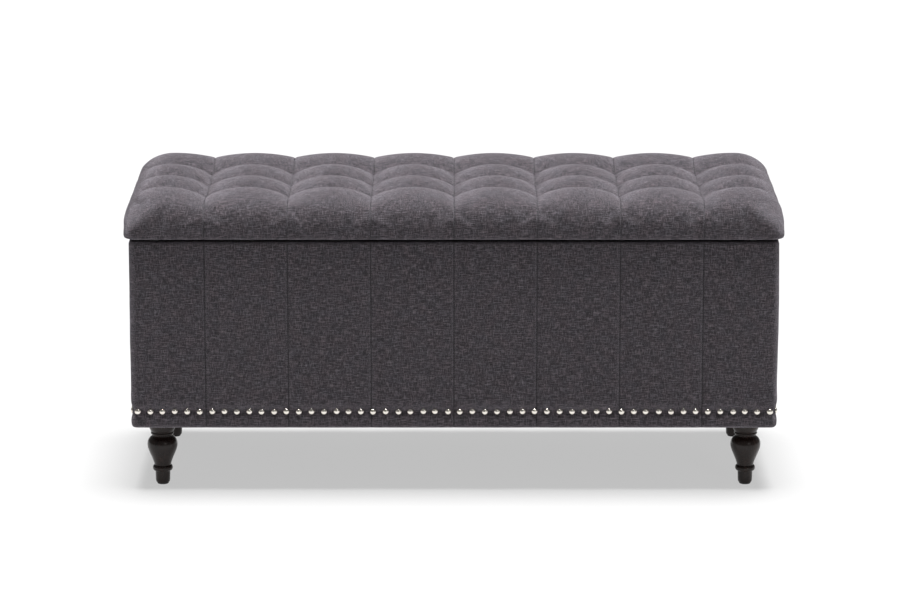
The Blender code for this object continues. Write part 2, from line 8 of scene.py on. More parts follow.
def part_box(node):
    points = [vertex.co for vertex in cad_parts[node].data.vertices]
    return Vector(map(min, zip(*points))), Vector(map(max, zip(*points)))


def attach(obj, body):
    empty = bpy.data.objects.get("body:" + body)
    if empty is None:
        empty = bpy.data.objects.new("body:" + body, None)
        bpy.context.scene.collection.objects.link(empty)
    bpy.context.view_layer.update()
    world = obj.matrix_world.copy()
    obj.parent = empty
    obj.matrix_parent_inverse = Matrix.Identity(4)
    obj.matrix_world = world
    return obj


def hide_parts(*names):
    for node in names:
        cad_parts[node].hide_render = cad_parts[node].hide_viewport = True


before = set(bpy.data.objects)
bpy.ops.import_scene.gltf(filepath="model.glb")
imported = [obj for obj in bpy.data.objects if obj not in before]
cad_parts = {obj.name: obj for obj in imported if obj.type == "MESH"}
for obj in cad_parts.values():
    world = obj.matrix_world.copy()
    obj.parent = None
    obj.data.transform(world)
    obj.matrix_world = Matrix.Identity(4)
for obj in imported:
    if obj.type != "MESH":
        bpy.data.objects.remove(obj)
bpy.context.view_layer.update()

# ---- The room -------------------------------------------------------------------------------------------------------
# A pale lit shooting table under broad soft light from overhead, with a weaker light in front of the bench.
# The camera stands well back with a long lens, a little above the bench and in front of it.

scene = bpy.context.scene
scene.view_settings.view_transform = "Standard"

camera_data = bpy.data.cameras.new("camera")
camera_data.lens = 170
camera_data.sensor_width = 36
camera_data.shift_x = -0.0044
camera_data.clip_end = 100
camera = bpy.data.objects.new("camera", camera_data)
scene.collection.objects.link(camera)
camera.location = (0, -8.0245, 2.1285)
camera.rotation_euler = (math.radians(90 - 12.72), 0, 0)
scene.camera = camera


def broad_light(name, aim_from, strength, spread, colour=(1, 1, 1)):
    """An even light over the whole set, as soft as its spread in degrees is wide."""
    data = bpy.data.lights.new(name, "SUN")
    data.energy = strength
    data.angle = math.radians(spread)
    data.color = colour
    lamp = bpy.data.objects.new(name, data)
    scene.collection.objects.link(lamp)
    lamp.rotation_euler = (-Vector(aim_from)).to_track_quat("-Z", "Y").to_euler()
    return lamp


broad_light("overhead_light", (0.04, 0.05, 1.0), 6.7, 26)
broad_light("front_light", (0.5, -1.0, 0.45), 0.12, 10, (1.0, 0.97, 0.94))

world = bpy.data.worlds.new("studio")
world.use_nodes = True
world.node_tree.nodes["Background"].inputs["Color"].default_value = (1, 1, 1, 1)
world.node_tree.nodes["Background"].inputs["Strength"].default_value = 0.20
scene.world = world

floor_mesh = bpy.data.meshes.new("floor")
floor_mesh.from_pydata([(-60, -60, 0), (60, -60, 0), (60, 60, 0), (-60, 60, 0)], [], [(0, 1, 2, 3)])
floor = bpy.data.objects.new("floor", floor_mesh)
scene.collection.objects.link(floor)
floor_paint = bpy.data.materials.new("pale_floor")
floor_paint.use_nodes = True
floor_paint.node_tree.nodes["Principled BSDF"].inputs["Base Color"].default_value = (0.23, 0.23, 0.23, 1)
floor_paint.node_tree.nodes["Principled BSDF"].inputs["Emission Color"].default_value = (1, 1, 1, 1)
floor_paint.node_tree.nodes["Principled BSDF"].inputs["Emission Strength"].default_value = 0.50
floor_paint.node_tree.nodes["Principled BSDF"].inputs["Roughness"].default_value = 0.9
floor_mesh.materials.append(floor_paint)

# ---- Boards and corner blocks ---------------------------------------------------------------------------------------
# The box is glued and screwed from 15 mm plywood, with a 12 mm floor board on four softwood corner blocks.
# Sawn birch-faced board: long soft grain on its faces and darker plies along its edges.


class Finish:
    """A Principled material and short ways to lay procedural nodes before it."""

    def __init__(self, name, **sockets):
        self.material = bpy.data.materials.new(name)
        self.material.use_nodes = True
        self.tree = self.material.node_tree
        self.shader = self.tree.nodes["Principled BSDF"]
        for socket, value in sockets.items():
            self.shader.inputs[socket.replace("_", " ")].default_value = value

    def node(self, kind, inputs=(), **settings):
        made = self.tree.nodes.new("ShaderNode" + kind)
        for setting, value in settings.items():
            setattr(made, setting, value)
        for socket, value in dict(inputs).items():
            self.feed(made.inputs[socket], value)
        return made

    def feed(self, socket, value):
        if isinstance(value, bpy.types.NodeSocket):
            self.tree.links.new(value, socket)
        elif isinstance(value, bpy.types.Node):
            self.tree.links.new(value.outputs[0], socket)
        elif hasattr(value, "__len__") and len(value) == 3 and len(socket.default_value) == 4:
            socket.default_value = (*value, 1)
        else:
            socket.default_value = value

    def math(self, operation, *values):
        return self.node("Math", dict(enumerate(values)), operation=operation).outputs[0]

    def stretched(self, coordinates, scale, turn=(0, 0, 0)):
        return self.node("Mapping", {"Vector": coordinates, "Scale": scale, "Rotation": turn}).outputs[0]

    def grain(self, coordinates, scale=1.0, detail=3.0, roughness=0.55, distortion=0.0):
        return self.node(
            "TexNoise",
            {"Vector": coordinates, "Scale": scale, "Detail": detail, "Roughness": roughness, "Distortion": distortion},
        ).outputs["Fac"]

    def ramp(self, value, *stops):
        made = self.node("ValToRGB", {"Fac": value})
        elements = made.color_ramp.elements
        while len(elements) < len(stops):
            elements.new(0.5)
        for element, (position, colour) in zip(elements, stops):
            element.position = position
            element.color = (*colour, 1) if len(colour) == 3 else colour
        return made.outputs["Color"]

    def spread(self, value, low, high, to_low=0.0, to_high=1.0):
        return self.node(
            "MapRange", {"Value": value, "From Min": low, "From Max": high, "To Min": to_low, "To Max": to_high}
        ).outputs[0]

    def mix(self, factor, one, two, blend="MIX"):
        made = self.node("Mix", data_type="RGBA", blend_type=blend)
        self.feed(made.inputs[0], factor)
        self.feed(made.inputs[6], one)
        self.feed(made.inputs[7], two)
        return made.outputs[2]

    def relief(self, height, distance, strength=1.0, under=None):
        inputs = {"Height": height, "Distance": distance, "Strength": strength}
        if under is not None:
            inputs["Normal"] = under
        return self.node("Bump", inputs).outputs[0]

    def end(self, colour=None, roughness=None, normal=None):
        for socket, value in (("Base Color", colour), ("Roughness", roughness), ("Normal", normal)):
            if value is not None:
                self.feed(self.shader.inputs[socket], value)
        return self.material

    def place(self):
        return self.node("TexCoord").outputs["Object"]


def plywood():
    wood = Finish("birch_plywood", Roughness=0.62)
    place = wood.place()
    grain = wood.grain(wood.stretched(place, (4, 60, 60)), 1.0, 6.0, 0.6, 0.6)
    pores = wood.grain(wood.stretched(place, (30, 700, 700)), 1.0, 2.0)
    figure = wood.ramp(grain, (0.30, (0.40, 0.25, 0.13)), (0.50, (0.56, 0.39, 0.23)), (0.72, (0.66, 0.49, 0.31)))
    colour = wood.mix(wood.spread(pores, 0.58, 0.70, 0.0, 0.35), figure, (0.24, 0.14, 0.07))
    height = wood.math("ADD", grain, wood.math("MULTIPLY", pores, 0.5))
    return wood.end(colour, wood.spread(grain, 0.3, 0.7, 0.72, 0.55), wood.relief(height, 0.0004, 0.4))


def repaint(names, material):
    """Gives CAD nodes whose shape is right their finish."""
    for name in names:
        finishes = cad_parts[name].data.materials
        finishes.clear()
        finishes.append(material)


birch = plywood()
repaint(["front_board", "back_board", "left_end_board", "right_end_board", "floor_board", "lid_board"], birch)
repaint([f"corner_block_{row}_{side}" for row in ("front", "back") for side in ("left", "right")], birch)

# ---- Legs -----------------------------------------------------------------------------------------------------------
# Four legs turned from solid rubberwood, stained very dark brown and lacquered to a satin shine. Each has a flared
# collar, two turned beads at its neck, a round bulb, a ring and a straight foot, and stands on a nylon glide.

MM = 0.001
LEG_PROFILE = [  # (radius, height) in millimetres, from under the box down to the foot
    (0.0, 121.7), (23.0, 121.7), (25.0, 121.2), (25.7, 120.0), (25.9, 117.0), (25.6, 114.0), (24.9, 111.0),
    (23.8, 108.0), (22.6, 105.6), (21.6, 104.0), (20.9, 103.0), (20.7, 102.2), (21.3, 101.8), (21.9, 100.9),
    (22.0, 99.8), (21.6, 98.8), (20.7, 98.2), (19.9, 97.6), (19.5, 96.6), (19.6, 95.6), (20.1, 94.8), (20.7, 94.2),
    (20.4, 93.7), (20.9, 93.2), (22.6, 92.0), (24.6, 90.2), (26.4, 87.6), (27.8, 84.4), (28.5, 81.0), (28.7, 77.6),
    (28.4, 74.0), (27.5, 70.2), (26.1, 66.0), (24.4, 61.8), (22.6, 57.6), (20.8, 53.4), (19.1, 49.2), (17.6, 45.0),
    (16.5, 41.4), (15.9, 38.8), (15.6, 37.4), (15.9, 36.9), (16.9, 36.6), (18.0, 35.6), (18.8, 34.0), (19.1, 32.2),
    (18.9, 30.2), (18.2, 28.4), (17.0, 27.0), (15.6, 26.3), (14.6, 26.0), (14.2, 25.4), (14.1, 24.4), (14.0, 20.0),
    (13.8, 14.0), (13.6, 9.0), (13.4, 6.4), (13.0, 4.8), (12.3, 3.7), (11.2, 3.3), (0.0, 3.3),
]


def mesh_piece(name, points, faces, material, body, smooth=35):
    """A piece from its points and faces, shaded smooth up to an angle, riding on a body."""
    mesh = bpy.data.meshes.new(name)
    mesh.from_pydata([tuple(p) for p in points], [], faces)
    mesh.validate()
    mesh.shade_smooth()
    if smooth:
        mesh.set_sharp_from_angle(angle=math.radians(smooth))
    mesh.materials.append(material)
    piece = bpy.data.objects.new(name, mesh)
    scene.collection.objects.link(piece)
    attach(piece, body)
    return piece


def turned(profile, centre, axis=(0, 0, 1), steps=48):
    """Points and faces of a (radius, distance) profile spun round an axis, closed at both ends."""
    axis = Vector(axis).normalized()
    across = Vector((0, 1, 0)) if abs(axis.x) > 0.9 else Vector((1, 0, 0))
    side = axis.cross(across)
    points, faces = [], []
    rings = []
    for radius, along in profile:
        middle = Vector(centre) + axis * along
        if radius == 0:
            rings.append([len(points)])
            points.append(middle)
            continue
        rings.append(list(range(len(points), len(points) + steps)))
        for i in range(steps):
            turn = math.tau * i / steps
            points.append(middle + radius * (across * math.cos(turn) + side * math.sin(turn)))
    for one, two in zip(rings, rings[1:]):
        for i in range(steps):
            j = (i + 1) % steps
            if len(one) == 1:
                faces.append((one[0], two[j], two[i]))
            elif len(two) == 1:
                faces.append((one[i], one[j], two[0]))
            else:
                faces.append((one[i], one[j], two[j], two[i]))
    if profile[0][1] < profile[-1][1]:
        faces = [face[::-1] for face in faces]
    return points, faces


def espresso_stain():
    wood = Finish("espresso_stained_wood", Roughness=0.34, Coat_Weight=0.14, Coat_Roughness=0.12,
                  Specular_IOR_Level=0.26)
    place = wood.place()
    grain = wood.grain(wood.stretched(place, (110, 110, 6)), 1.0, 5.0, 0.62, 0.5)
    streaks = wood.grain(wood.stretched(place, (420, 420, 14)), 1.0, 2.0)
    colour = wood.ramp(grain, (0.28, (0.0055, 0.0027, 0.0021)), (0.55, (0.0125, 0.0062, 0.0046)),
                       (0.80, (0.0300, 0.0155, 0.0112)))
    height = wood.math("ADD", grain, wood.math("MULTIPLY", streaks, 0.4))
    rough = wood.spread(streaks, 0.3, 0.7, 0.24, 0.36)
    return wood.end(colour, rough, wood.relief(height, 0.00012, 0.35))


def black_nylon():
    plastic = Finish("black_nylon", Roughness=0.5)
    speckle = plastic.grain(plastic.place(), 1800, 2.0)
    colour = plastic.ramp(speckle, (0.3, (0.018, 0.018, 0.019)), (0.7, (0.034, 0.034, 0.035)))
    return plastic.end(colour, plastic.spread(speckle, 0.3, 0.7, 0.42, 0.6), plastic.relief(speckle, 0.00005, 0.3))


def zinc_plate():
    steel = Finish("zinc_plated_steel", Metallic=1.0, Roughness=0.35)
    place = steel.place()
    cloud = steel.grain(place, 90, 4.0)
    scratch = steel.grain(steel.stretched(place, (60, 1500, 1500)), 1.0, 2.0)
    colour = steel.ramp(cloud, (0.3, (0.46, 0.46, 0.45)), (0.7, (0.66, 0.66, 0.64)))
    return steel.end(colour, steel.spread(cloud, 0.3, 0.7, 0.26, 0.46), steel.relief(scratch, 0.00003, 0.3))


espresso, nylon, zinc = espresso_stain(), black_nylon(), zinc_plate()
leg_feet = {}
for row in ("front", "back"):
    for side in ("left", "right"):
        name = f"{row}_{side}"
        low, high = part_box(f"leg_{name}")
        foot = Vector(((low.x + high.x) / 2, (low.y + high.y) / 2, 0))
        leg_feet[name] = foot
        profile = [(r * MM, z * MM) for r, z in LEG_PROFILE]
        leg = mesh_piece(f"turned_leg_{name}", *turned(profile, foot, steps=64), espresso, "box", 25)
        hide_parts(f"leg_{name}")
        sole = [(0, 0), (8.6, 0), (9.8, 0.25), (10.6, 0.8), (11.0, 1.6), (11.0, 2.4), (10.7, 2.9), (10.2, 3.1),
                (0, 3.1)]
        glide = mesh_piece(f"nylon_glide_{name}", *turned([(r * MM, z * MM) for r, z in sole], foot, steps=40),
                           nylon, "box", 40)
        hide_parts(f"foot_glide_{name}")
repaint([f"{kind}_{row}_{side}" for kind in ("hanger_bolt", "tee_nut") for row in ("front", "back")
         for side in ("left", "right")], zinc)

# ---- Fabric cover of the box ----------------------------------------------------------------------------------------
# Heathered charcoal linen-look fabric over thin foam. Upright seams divide the front and back into eight channels
# and each end into four. It is turned over the top edge, stapled under the bottom, and pinched by the nail trim.

SEAM_PITCH = 156.2 * MM
COLUMN_SEAMS = [i * SEAM_PITCH for i in range(-3, 4)]
ROW_SEAMS = [-117.0 * MM, -3.5 * MM, 110.0 * MM]
NAIL_LINE = (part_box("front_nail_row")[0].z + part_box("front_nail_row")[1].z) / 2
NAILS_ACROSS, NAILS_ALONG = 52, 20


def heathered_linen(name="charcoal_linen", light=1.0):
    """Warp and weft yarns of uneven thickness and shade, over and under each other, in the cloth's own metres."""
    cloth = Finish(name, Roughness=0.88, Sheen_Weight=0.48, Sheen_Roughness=0.45, Sheen_Tint=(0.92, 0.86, 0.95, 1),
                   Specular_IOR_Level=0.25)
    yarn = 1.05 * MM
    flat = cloth.node("UVMap", uv_map="cloth").outputs[0]
    wander = cloth.node("TexNoise", {"Vector": flat, "Scale": 55.0, "Detail": 2.0})
    offset = cloth.node("VectorMath", {0: wander.outputs["Color"], 1: (0.5, 0.5, 0.5)}, operation="SUBTRACT")
    offset = cloth.node("VectorMath", {0: offset, "Scale": 1.6 * MM}, operation="SCALE")
    threads = cloth.node("VectorMath", {0: flat, 1: offset}, operation="ADD").outputs[0]
    split = cloth.node("SeparateXYZ", {0: threads})
    across, along = split.outputs[0], split.outputs[1]
    u, v = cloth.math("MULTIPLY", across, 1 / yarn), cloth.math("MULTIPLY", along, 1 / yarn)
    parity = cloth.math("ADD", cloth.math("FLOOR", u), cloth.math("FLOOR", v))
    warp_up = cloth.math("MULTIPLY", cloth.math("FRACT", cloth.math("MULTIPLY", parity, 0.5)), 2.0)
    warp_round = cloth.math("ABSOLUTE", cloth.math("SINE", cloth.math("MULTIPLY", u, math.pi)))
    weft_round = cloth.math("ABSOLUTE", cloth.math("SINE", cloth.math("MULTIPLY", v, math.pi)))
    warp_slub = cloth.grain(cloth.stretched(flat, (620, 80, 1)), 1.0, 2.5, 0.6)
    weft_slub = cloth.grain(cloth.stretched(flat, (64, 640, 1)), 1.0, 2.5, 0.6)
    dark, middle, pale = (0.0032, 0.0025, 0.0030), (0.0320, 0.0262, 0.0302), (0.320, 0.280, 0.312)
    dark, middle, pale = (tuple(light * c for c in shade) for shade in (dark, middle, pale))
    warp_shade = cloth.ramp(warp_slub, (0.385, dark), (0.49, middle), (0.665, pale))
    weft_shade = cloth.ramp(weft_slub, (0.385, dark), (0.50, middle), (0.675, pale))
    shade = cloth.mix(cloth.spread(warp_up, 0.0, 1.0, 0.22, 0.62), weft_shade, warp_shade)
    flecks = cloth.grain(flat, 360, 3.0, 0.7)
    shade = cloth.mix(cloth.spread(flecks, 0.54, 0.70, 0.0, 0.34), shade, pale)
    shade = cloth.mix(cloth.spread(flecks, 0.32, 0.46, 0.5, 0.0), shade, dark)
    mottle = cloth.grain(flat, 175, 2.0)
    shade = cloth.mix(cloth.spread(mottle, 0.36, 0.64, 0.34, 0.0), shade, dark)
    tint = cloth.grain(flat, 38, 3.0)
    cool_to_warm = cloth.ramp(tint, (0.35, (0.45, 0.50, 0.56)), (0.65, (0.62, 0.50, 0.52)))
    shade = cloth.mix(0.35, shade, cool_to_warm, "SOFT_LIGHT")
    hollows = cloth.math("ADD", cloth.math("MULTIPLY", warp_round, warp_up),
                         cloth.math("MULTIPLY", weft_round, cloth.math("SUBTRACT", 1.0, warp_up)))
    # painted shade: the gaps between the rounded yarns are darkened toward the darkest yarn colour, as if in shadow;
    # the same rounding also gives the bump's height
    shade = cloth.mix(cloth.spread(hollows, 0.0, 0.55, 0.55, 0.0), shade, dark)
    # painted shade: the cloth is darkened almost to black along each seam, standing in for the groove's shadow
    seam = cloth.node("Attribute", attribute_name="painted_seam_shade", attribute_type="GEOMETRY").outputs["Fac"]
    shade = cloth.mix(cloth.math("MULTIPLY", seam, 0.95), shade, (0.002, 0.0016, 0.002))
    slubs = cloth.math("ADD", warp_slub, weft_slub)
    height = cloth.math("ADD", hollows, cloth.math("MULTIPLY", slubs, 1.3))
    return cloth.end(shade, None, cloth.relief(height, 0.0011, 0.80))


def lay_flat(piece, positions):
    """Gives each corner of each face its place on the flat cloth, in metres."""
    layer = piece.data.uv_layers.new(name="cloth")
    for polygon in piece.data.polygons:
        for corner in polygon.loop_indices:
            layer.data[corner].uv = positions(polygon, piece.data.loops[corner].vertex_index)


def mark_seams(piece, values):
    """How much of each point lies in the shade of a seam, painted into the cloth's colour as a dark line."""
    line = piece.data.attributes.new("painted_seam_shade", "FLOAT", "POINT")
    line.data.foreach_set("value", values)


def bell(distance, width):
    return math.exp(-(distance / width) ** 2)


def smooth_step(value):
    value = min(max(value, 0.0), 1.0)
    return value * value * (3 - 2 * value)


def box_side_stations(half_length, seams, step=3.9 * MM):
    """Distances along one straight side, with extra ones beside each seam."""
    close = [seam + side * d for seam in seams for side in (-1, 1) for d in (0, 0.7 * MM, 1.6 * MM, 2.8 * MM)]
    close = sorted(set(round(c, 6) for c in close))
    count = round(2 * half_length / step)
    even = [-half_length + 2 * half_length * i / count for i in range(count + 1)]
    kept = [e for e in even if all(abs(e - c) > 1.4 * MM for c in close)]
    return sorted(kept + close)


def upholstered_box():
    low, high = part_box("box_cover")
    half_x, mid_y, half_y = (high.x - low.x) / 2, (low.y + high.y) / 2, (high.y - low.y) / 2
    corner, pinch = 11.0 * MM, 3.0 * MM
    sides = [  # (direction along the side, outward direction, straight half length, seams, nails, half length)
        (Vector((1, 0)), Vector((0, -1)), half_x - corner, COLUMN_SEAMS, NAILS_ACROSS, half_x),
        (Vector((0, 1)), Vector((1, 0)), half_y - corner, [y - mid_y for y in ROW_SEAMS], NAILS_ALONG, half_y),
        (Vector((-1, 0)), Vector((0, 1)), half_x - corner, COLUMN_SEAMS, 0, half_x),
        (Vector((0, -1)), Vector((-1, 0)), half_y - corner, [mid_y - y for y in ROW_SEAMS], NAILS_ALONG, half_y),
    ]
    columns = []  # (plan point on the face, outward direction, distance along the cloth, side, distance on the side)
    walked = 0.0
    for number, (along, out, straight, seams, nails, half) in enumerate(sides):
        reach = half_y if number % 2 == 0 else half_x
        middle = Vector((0, mid_y)) + out * reach
        stations = box_side_stations(straight, seams)
        for s in stations:
            columns.append((middle + along * s, out, walked + s + straight, number, s))
        walked += 2 * straight
        centre = middle + along * straight - out * corner
        for i in range(1, 7):
            turn = math.radians(90) * i / 7
            direction = out * math.cos(turn) + along * math.sin(turn)
            columns.append((centre + direction * corner, direction, walked + turn * corner, number,
                            straight + turn * corner))
        walked += corner * math.pi / 2

    def swell(number, s, z):
        """How far the cloth stands out from the box's face."""
        along, out, straight, seams, nails, half = sides[number]
        edges = [-half] + list(seams) + [half]
        stand = 0.0
        for left, right in zip(edges, edges[1:]):
            if left <= s <= right:
                a = (2 * s - left - right) / (right - left)
                a = max(-1.0, min(1.0, a))
                stand = 1.7 * MM * (1 - a * a)
        upper = (z - low.z) / (high.z - low.z)
        for seam in seams:
            d = s - seam
            stand -= (0.8 * bell(d, 1.7 * MM) + 1.2 * bell(d, 8 * MM)) * MM
            ridge = smooth_step((d + 11 * MM) / (2 * MM)) * smooth_step((-1.5 * MM - d) / (2 * MM))
            stand += 0.45 * MM * ridge
        stand *= 1.0 - 0.45 * bell(z - high.z, 14 * MM)
        if nails:
            stand *= 1.0 - 0.95 * bell(z - NAIL_LINE, 12 * MM)
            stand -= pinch * bell(z - NAIL_LINE, 9 * MM)
            first = half - 12.5 * MM
            pitch = 2 * first / (nails - 1)
            nearest = round((s + first) / pitch)
            nearest = min(max(nearest, 0), nails - 1)
            off = math.hypot(s - (nearest * pitch - first), z - NAIL_LINE)
            stand -= 1.6 * MM * bell(off, 7.5 * MM)
            lift = 0.5 + 0.5 * math.cos(math.tau * (s + first) / pitch)
            for side in (-1, 1):
                stand -= 0.35 * MM * lift * bell(z - NAIL_LINE - side * 11 * MM, 6 * MM)
        stand += 1.0 * MM * (bell(z - NAIL_LINE - 24 * MM, 16 * MM) + bell(z - NAIL_LINE + 17 * MM, 8 * MM))
        stand += 1.1 * MM * math.sin(math.pi * min(max((upper - 0.15) / 0.85, 0), 1))
        wave = noise.noise(Vector((s * 9 + number * 17, z * 7, number * 3.1)))
        fine = noise.noise(Vector((s * 34 + number * 5, z * 26, 4.2)))
        loose = 1.0 - (0.9 * bell(z - NAIL_LINE, 15 * MM) if nails else 0.0)
        return stand + (0.8 * wave + 0.25 * fine) * loose * MM

    inner = 9.8 * MM
    rows = []  # (how far in from the swollen face, height, share of the swell)
    top_r, bottom_r = 4.5 * MM, 6.0 * MM
    for inset, z in ((25.2, 471.8), (26.2, 472.2), (26.4, 476.0), (26.3, 479.2), (25.6, 480.9), (24.2, 481.5),
                     (19.0, 481.6), (13.0, 481.6), (8.0, 481.5)):
        rows.append((inset * MM, z * MM, 0.0))
    for i in range(1, 7):
        turn = math.radians(90) * i / 6
        rows.append((top_r * (1 - math.sin(turn)), high.z - top_r * (1 - math.cos(turn)), math.sin(turn)))
    z = high.z - top_r
    while z > NAIL_LINE + 24 * MM:
        z -= min(6.5 * MM, z - NAIL_LINE - 23.9 * MM)
        rows.append((0.0, z, 1.0))
    while z > low.z + bottom_r + 1.2 * MM:
        z -= 1.9 * MM
        rows.append((0.0, z, 1.0))
    for i in range(1, 6):
        turn = math.radians(90) * i / 5
        rows.append((bottom_r * (1 - math.cos(turn)), low.z + bottom_r * (1 - math.sin(turn)), math.cos(turn)))
    rows += [(14 * MM, low.z, 0.0), (29.5 * MM, low.z, 0.0), (30 * MM, low.z + 0.7 * MM, 0.0),
             (29.5 * MM, low.z + 1.4 * MM, 0.0), (inner, low.z + 1.4 * MM, 0.0), (inner, 479.9 * MM, 0.0),
             (25.0 * MM, 479.9 * MM, 0.0), (25.0 * MM, 472.2 * MM, 0.0)]

    points, faces, lengths, shaded = [], [], [0.0], []
    for one, two in zip(rows, rows[1:]):
        lengths.append(lengths[-1] + math.hypot(one[0] - two[0], one[1] - two[1]))
    centre = Vector((0, mid_y))
    for inset, z, share in rows:
        for place, out, _, number, s in columns:
            if inset < corner:
                moved = place - out * inset
            else:  # past the corner's centre the loops are plain rectangles
                x = min(max(place.x, -(half_x - inset)), half_x - inset)
                y = min(max(place.y - mid_y, -(half_y - inset)), half_y - inset)
                moved = centre + Vector((x, y))
            stand = swell(number, min(s, sides[number][5]), z) if share else 0.0
            points.append((*(moved + out * stand * share), z))
            beside = min((abs(s - seam) for seam in sides[number][3]), default=1.0)
            shaded.append(share * bell(beside, 1.6 * MM))
    wide, tall = len(columns), len(rows)
    for r in range(tall):
        for c in range(wide):
            d, below = (c + 1) % wide, (r + 1) % tall
            faces.append((r * wide + c, below * wide + c, below * wide + d, r * wide + d))
    cover = mesh_piece("box_fabric", points, faces, heathered_linen(), "box", 60)

    def cloth_place(polygon, vertex):
        r, c = divmod(vertex, wide)
        across = columns[c][2]
        if c == 0 and any(v % wide == wide - 1 for v in polygon.vertices):
            across = walked
        return across, -lengths[r]

    lay_flat(cover, cloth_place)
    mark_seams(cover, shaded)
    return cover


box_fabric = upholstered_box()
linen = box_fabric.data.materials[0]
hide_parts("box_cover", "front_padding", "back_padding", "left_padding", "right_padding")

# ---- Nailhead trim --------------------------------------------------------------------------------------------------
# Polished nickel-plated upholstery nails, hammered in by hand round the front and the two ends, so their heads sit
# at very slightly different depths, heights and tilts.


def polished_nickel():
    metal = Finish("polished_nickel", Metallic=1.0, Roughness=0.12)
    place = metal.place()
    cloud = metal.grain(place, 260, 3.0)
    colour = metal.ramp(cloud, (0.3, (0.78, 0.73, 0.66)), (0.7, (0.93, 0.89, 0.82)))
    return metal.end(colour, metal.spread(cloud, 0.3, 0.7, 0.07, 0.17), metal.relief(cloud, 0.00006, 0.25))


nickel = polished_nickel()
DOME = [(0.0, -1.0), (5.0, -1.0), (5.75, -0.6), (6.05, -0.1), (6.1, 0.25), (5.95, 0.6), (5.6, 1.15), (5.0, 1.85),
        (4.2, 2.5), (3.2, 3.05), (2.1, 3.45), (1.0, 3.65), (0.0, 3.7)]
chance = random.Random(11)


def nail_row(name, node, start, end, count, out):
    points, faces = [], []
    out = Vector(out)
    for i in range(count):
        run = (Vector(end) - Vector(start)).normalized()
        head = Vector(start).lerp(Vector(end), i / (count - 1))
        head += run * chance.uniform(-0.9, 0.9) * MM + Vector((0, 0, chance.uniform(-0.5, 0.5) * MM))
        head -= out * chance.uniform(1.2, 1.6) * MM
        lean = out + run * chance.uniform(-0.07, 0.07) + Vector((0, 0, chance.uniform(-0.07, 0.07)))
        dome_points, dome_faces = turned([(r * MM, h * MM) for r, h in DOME], head, lean, steps=28)
        base = len(points)
        points += dome_points
        faces += [tuple(base + v for v in face) for face in dome_faces]
    row = mesh_piece(name, points, faces, nickel, "box", 50)
    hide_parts(node)


box_low, box_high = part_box("box_cover")
from_corner = 12.5 * MM
nail_row("nails_front", "front_nail_row", (box_low.x + from_corner, box_low.y, NAIL_LINE),
         (box_high.x - from_corner, box_low.y, NAIL_LINE), NAILS_ACROSS, (0, -1, 0))
for side, x, sign in (("left", box_low.x, -1), ("right", box_high.x, 1)):
    nail_row(f"nails_{side}", f"{side}_nail_row", (x, box_low.y + from_corner, NAIL_LINE),
             (x, box_high.y - from_corner, NAIL_LINE), NAILS_ALONG, (sign, 0, 0))

# ---- Linings and dust cover -----------------------------------------------------------------------------------------
# Thin black spun-bonded cloth: a tray stapled inside the box, and a sheet stapled under its bottom.


def black_cambric():
    cloth = Finish("black_cambric", Roughness=0.9, Sheen_Weight=0.1, Sheen_Roughness=0.5)
    place = cloth.place()
    fibres = cloth.grain(place, 900, 4.0, 0.7)
    dimples = cloth.node("TexVoronoi", {"Vector": place, "Scale": 420.0}).outputs["Distance"]
    colour = cloth.ramp(fibres, (0.3, (0.010, 0.010, 0.011)), (0.7, (0.030, 0.030, 0.032)))
    height = cloth.math("ADD", cloth.math("MULTIPLY", dimples, 1.5), fibres)
    return cloth.end(colour, None, cloth.relief(height, 0.0003, 0.5))


cambric = black_cambric()


def stapled_sheet(name, node, body, sag, wrinkle, cells):
    """A flat sheet held by its edges: its free face sags a little and shows soft pulls running in from the staples."""
    low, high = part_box(node)
    across, along = cells
    points, faces = [], []
    for level in (0, 1):
        for i in range(across + 1):
            for j in range(along + 1):
                u, v = i / across, j / along
                bow = math.sin(math.pi * u) * math.sin(math.pi * v)
                pull = noise.noise(Vector((u * 26, v * 10, 1.7))) + 0.5 * noise.noise(Vector((u * 70, v * 26, 5.1)))
                edge = min(1.0, 8 * min(u, 1 - u, v, 1 - v))
                drop = sag * bow + wrinkle * edge * max(pull + 0.2, 0.0)
                points.append((low.x + (high.x - low.x) * u, low.y + (high.y - low.y) * v,
                               (high.z if level else low.z) - drop))
    level_size = (across + 1) * (along + 1)

    def at(level, i, j):
        return level * level_size + i * (along + 1) + j

    for i in range(across):
        for j in range(along):
            faces.append((at(1, i, j), at(1, i + 1, j), at(1, i + 1, j + 1), at(1, i, j + 1)))
            faces.append((at(0, i, j + 1), at(0, i + 1, j + 1), at(0, i + 1, j), at(0, i, j)))
    for i in range(across):
        faces.append((at(0, i, 0), at(0, i + 1, 0), at(1, i + 1, 0), at(1, i, 0)))
        faces.append((at(1, i, along), at(1, i + 1, along), at(0, i + 1, along), at(0, i, along)))
    for j in range(along):
        faces.append((at(1, 0, j), at(1, 0, j + 1), at(0, 0, j + 1), at(0, 0, j)))
        faces.append((at(0, across, j), at(0, across, j + 1), at(1, across, j + 1), at(1, across, j)))
    sheet = mesh_piece(name, points, faces, cambric, body, 50)
    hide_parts(node)
    return sheet


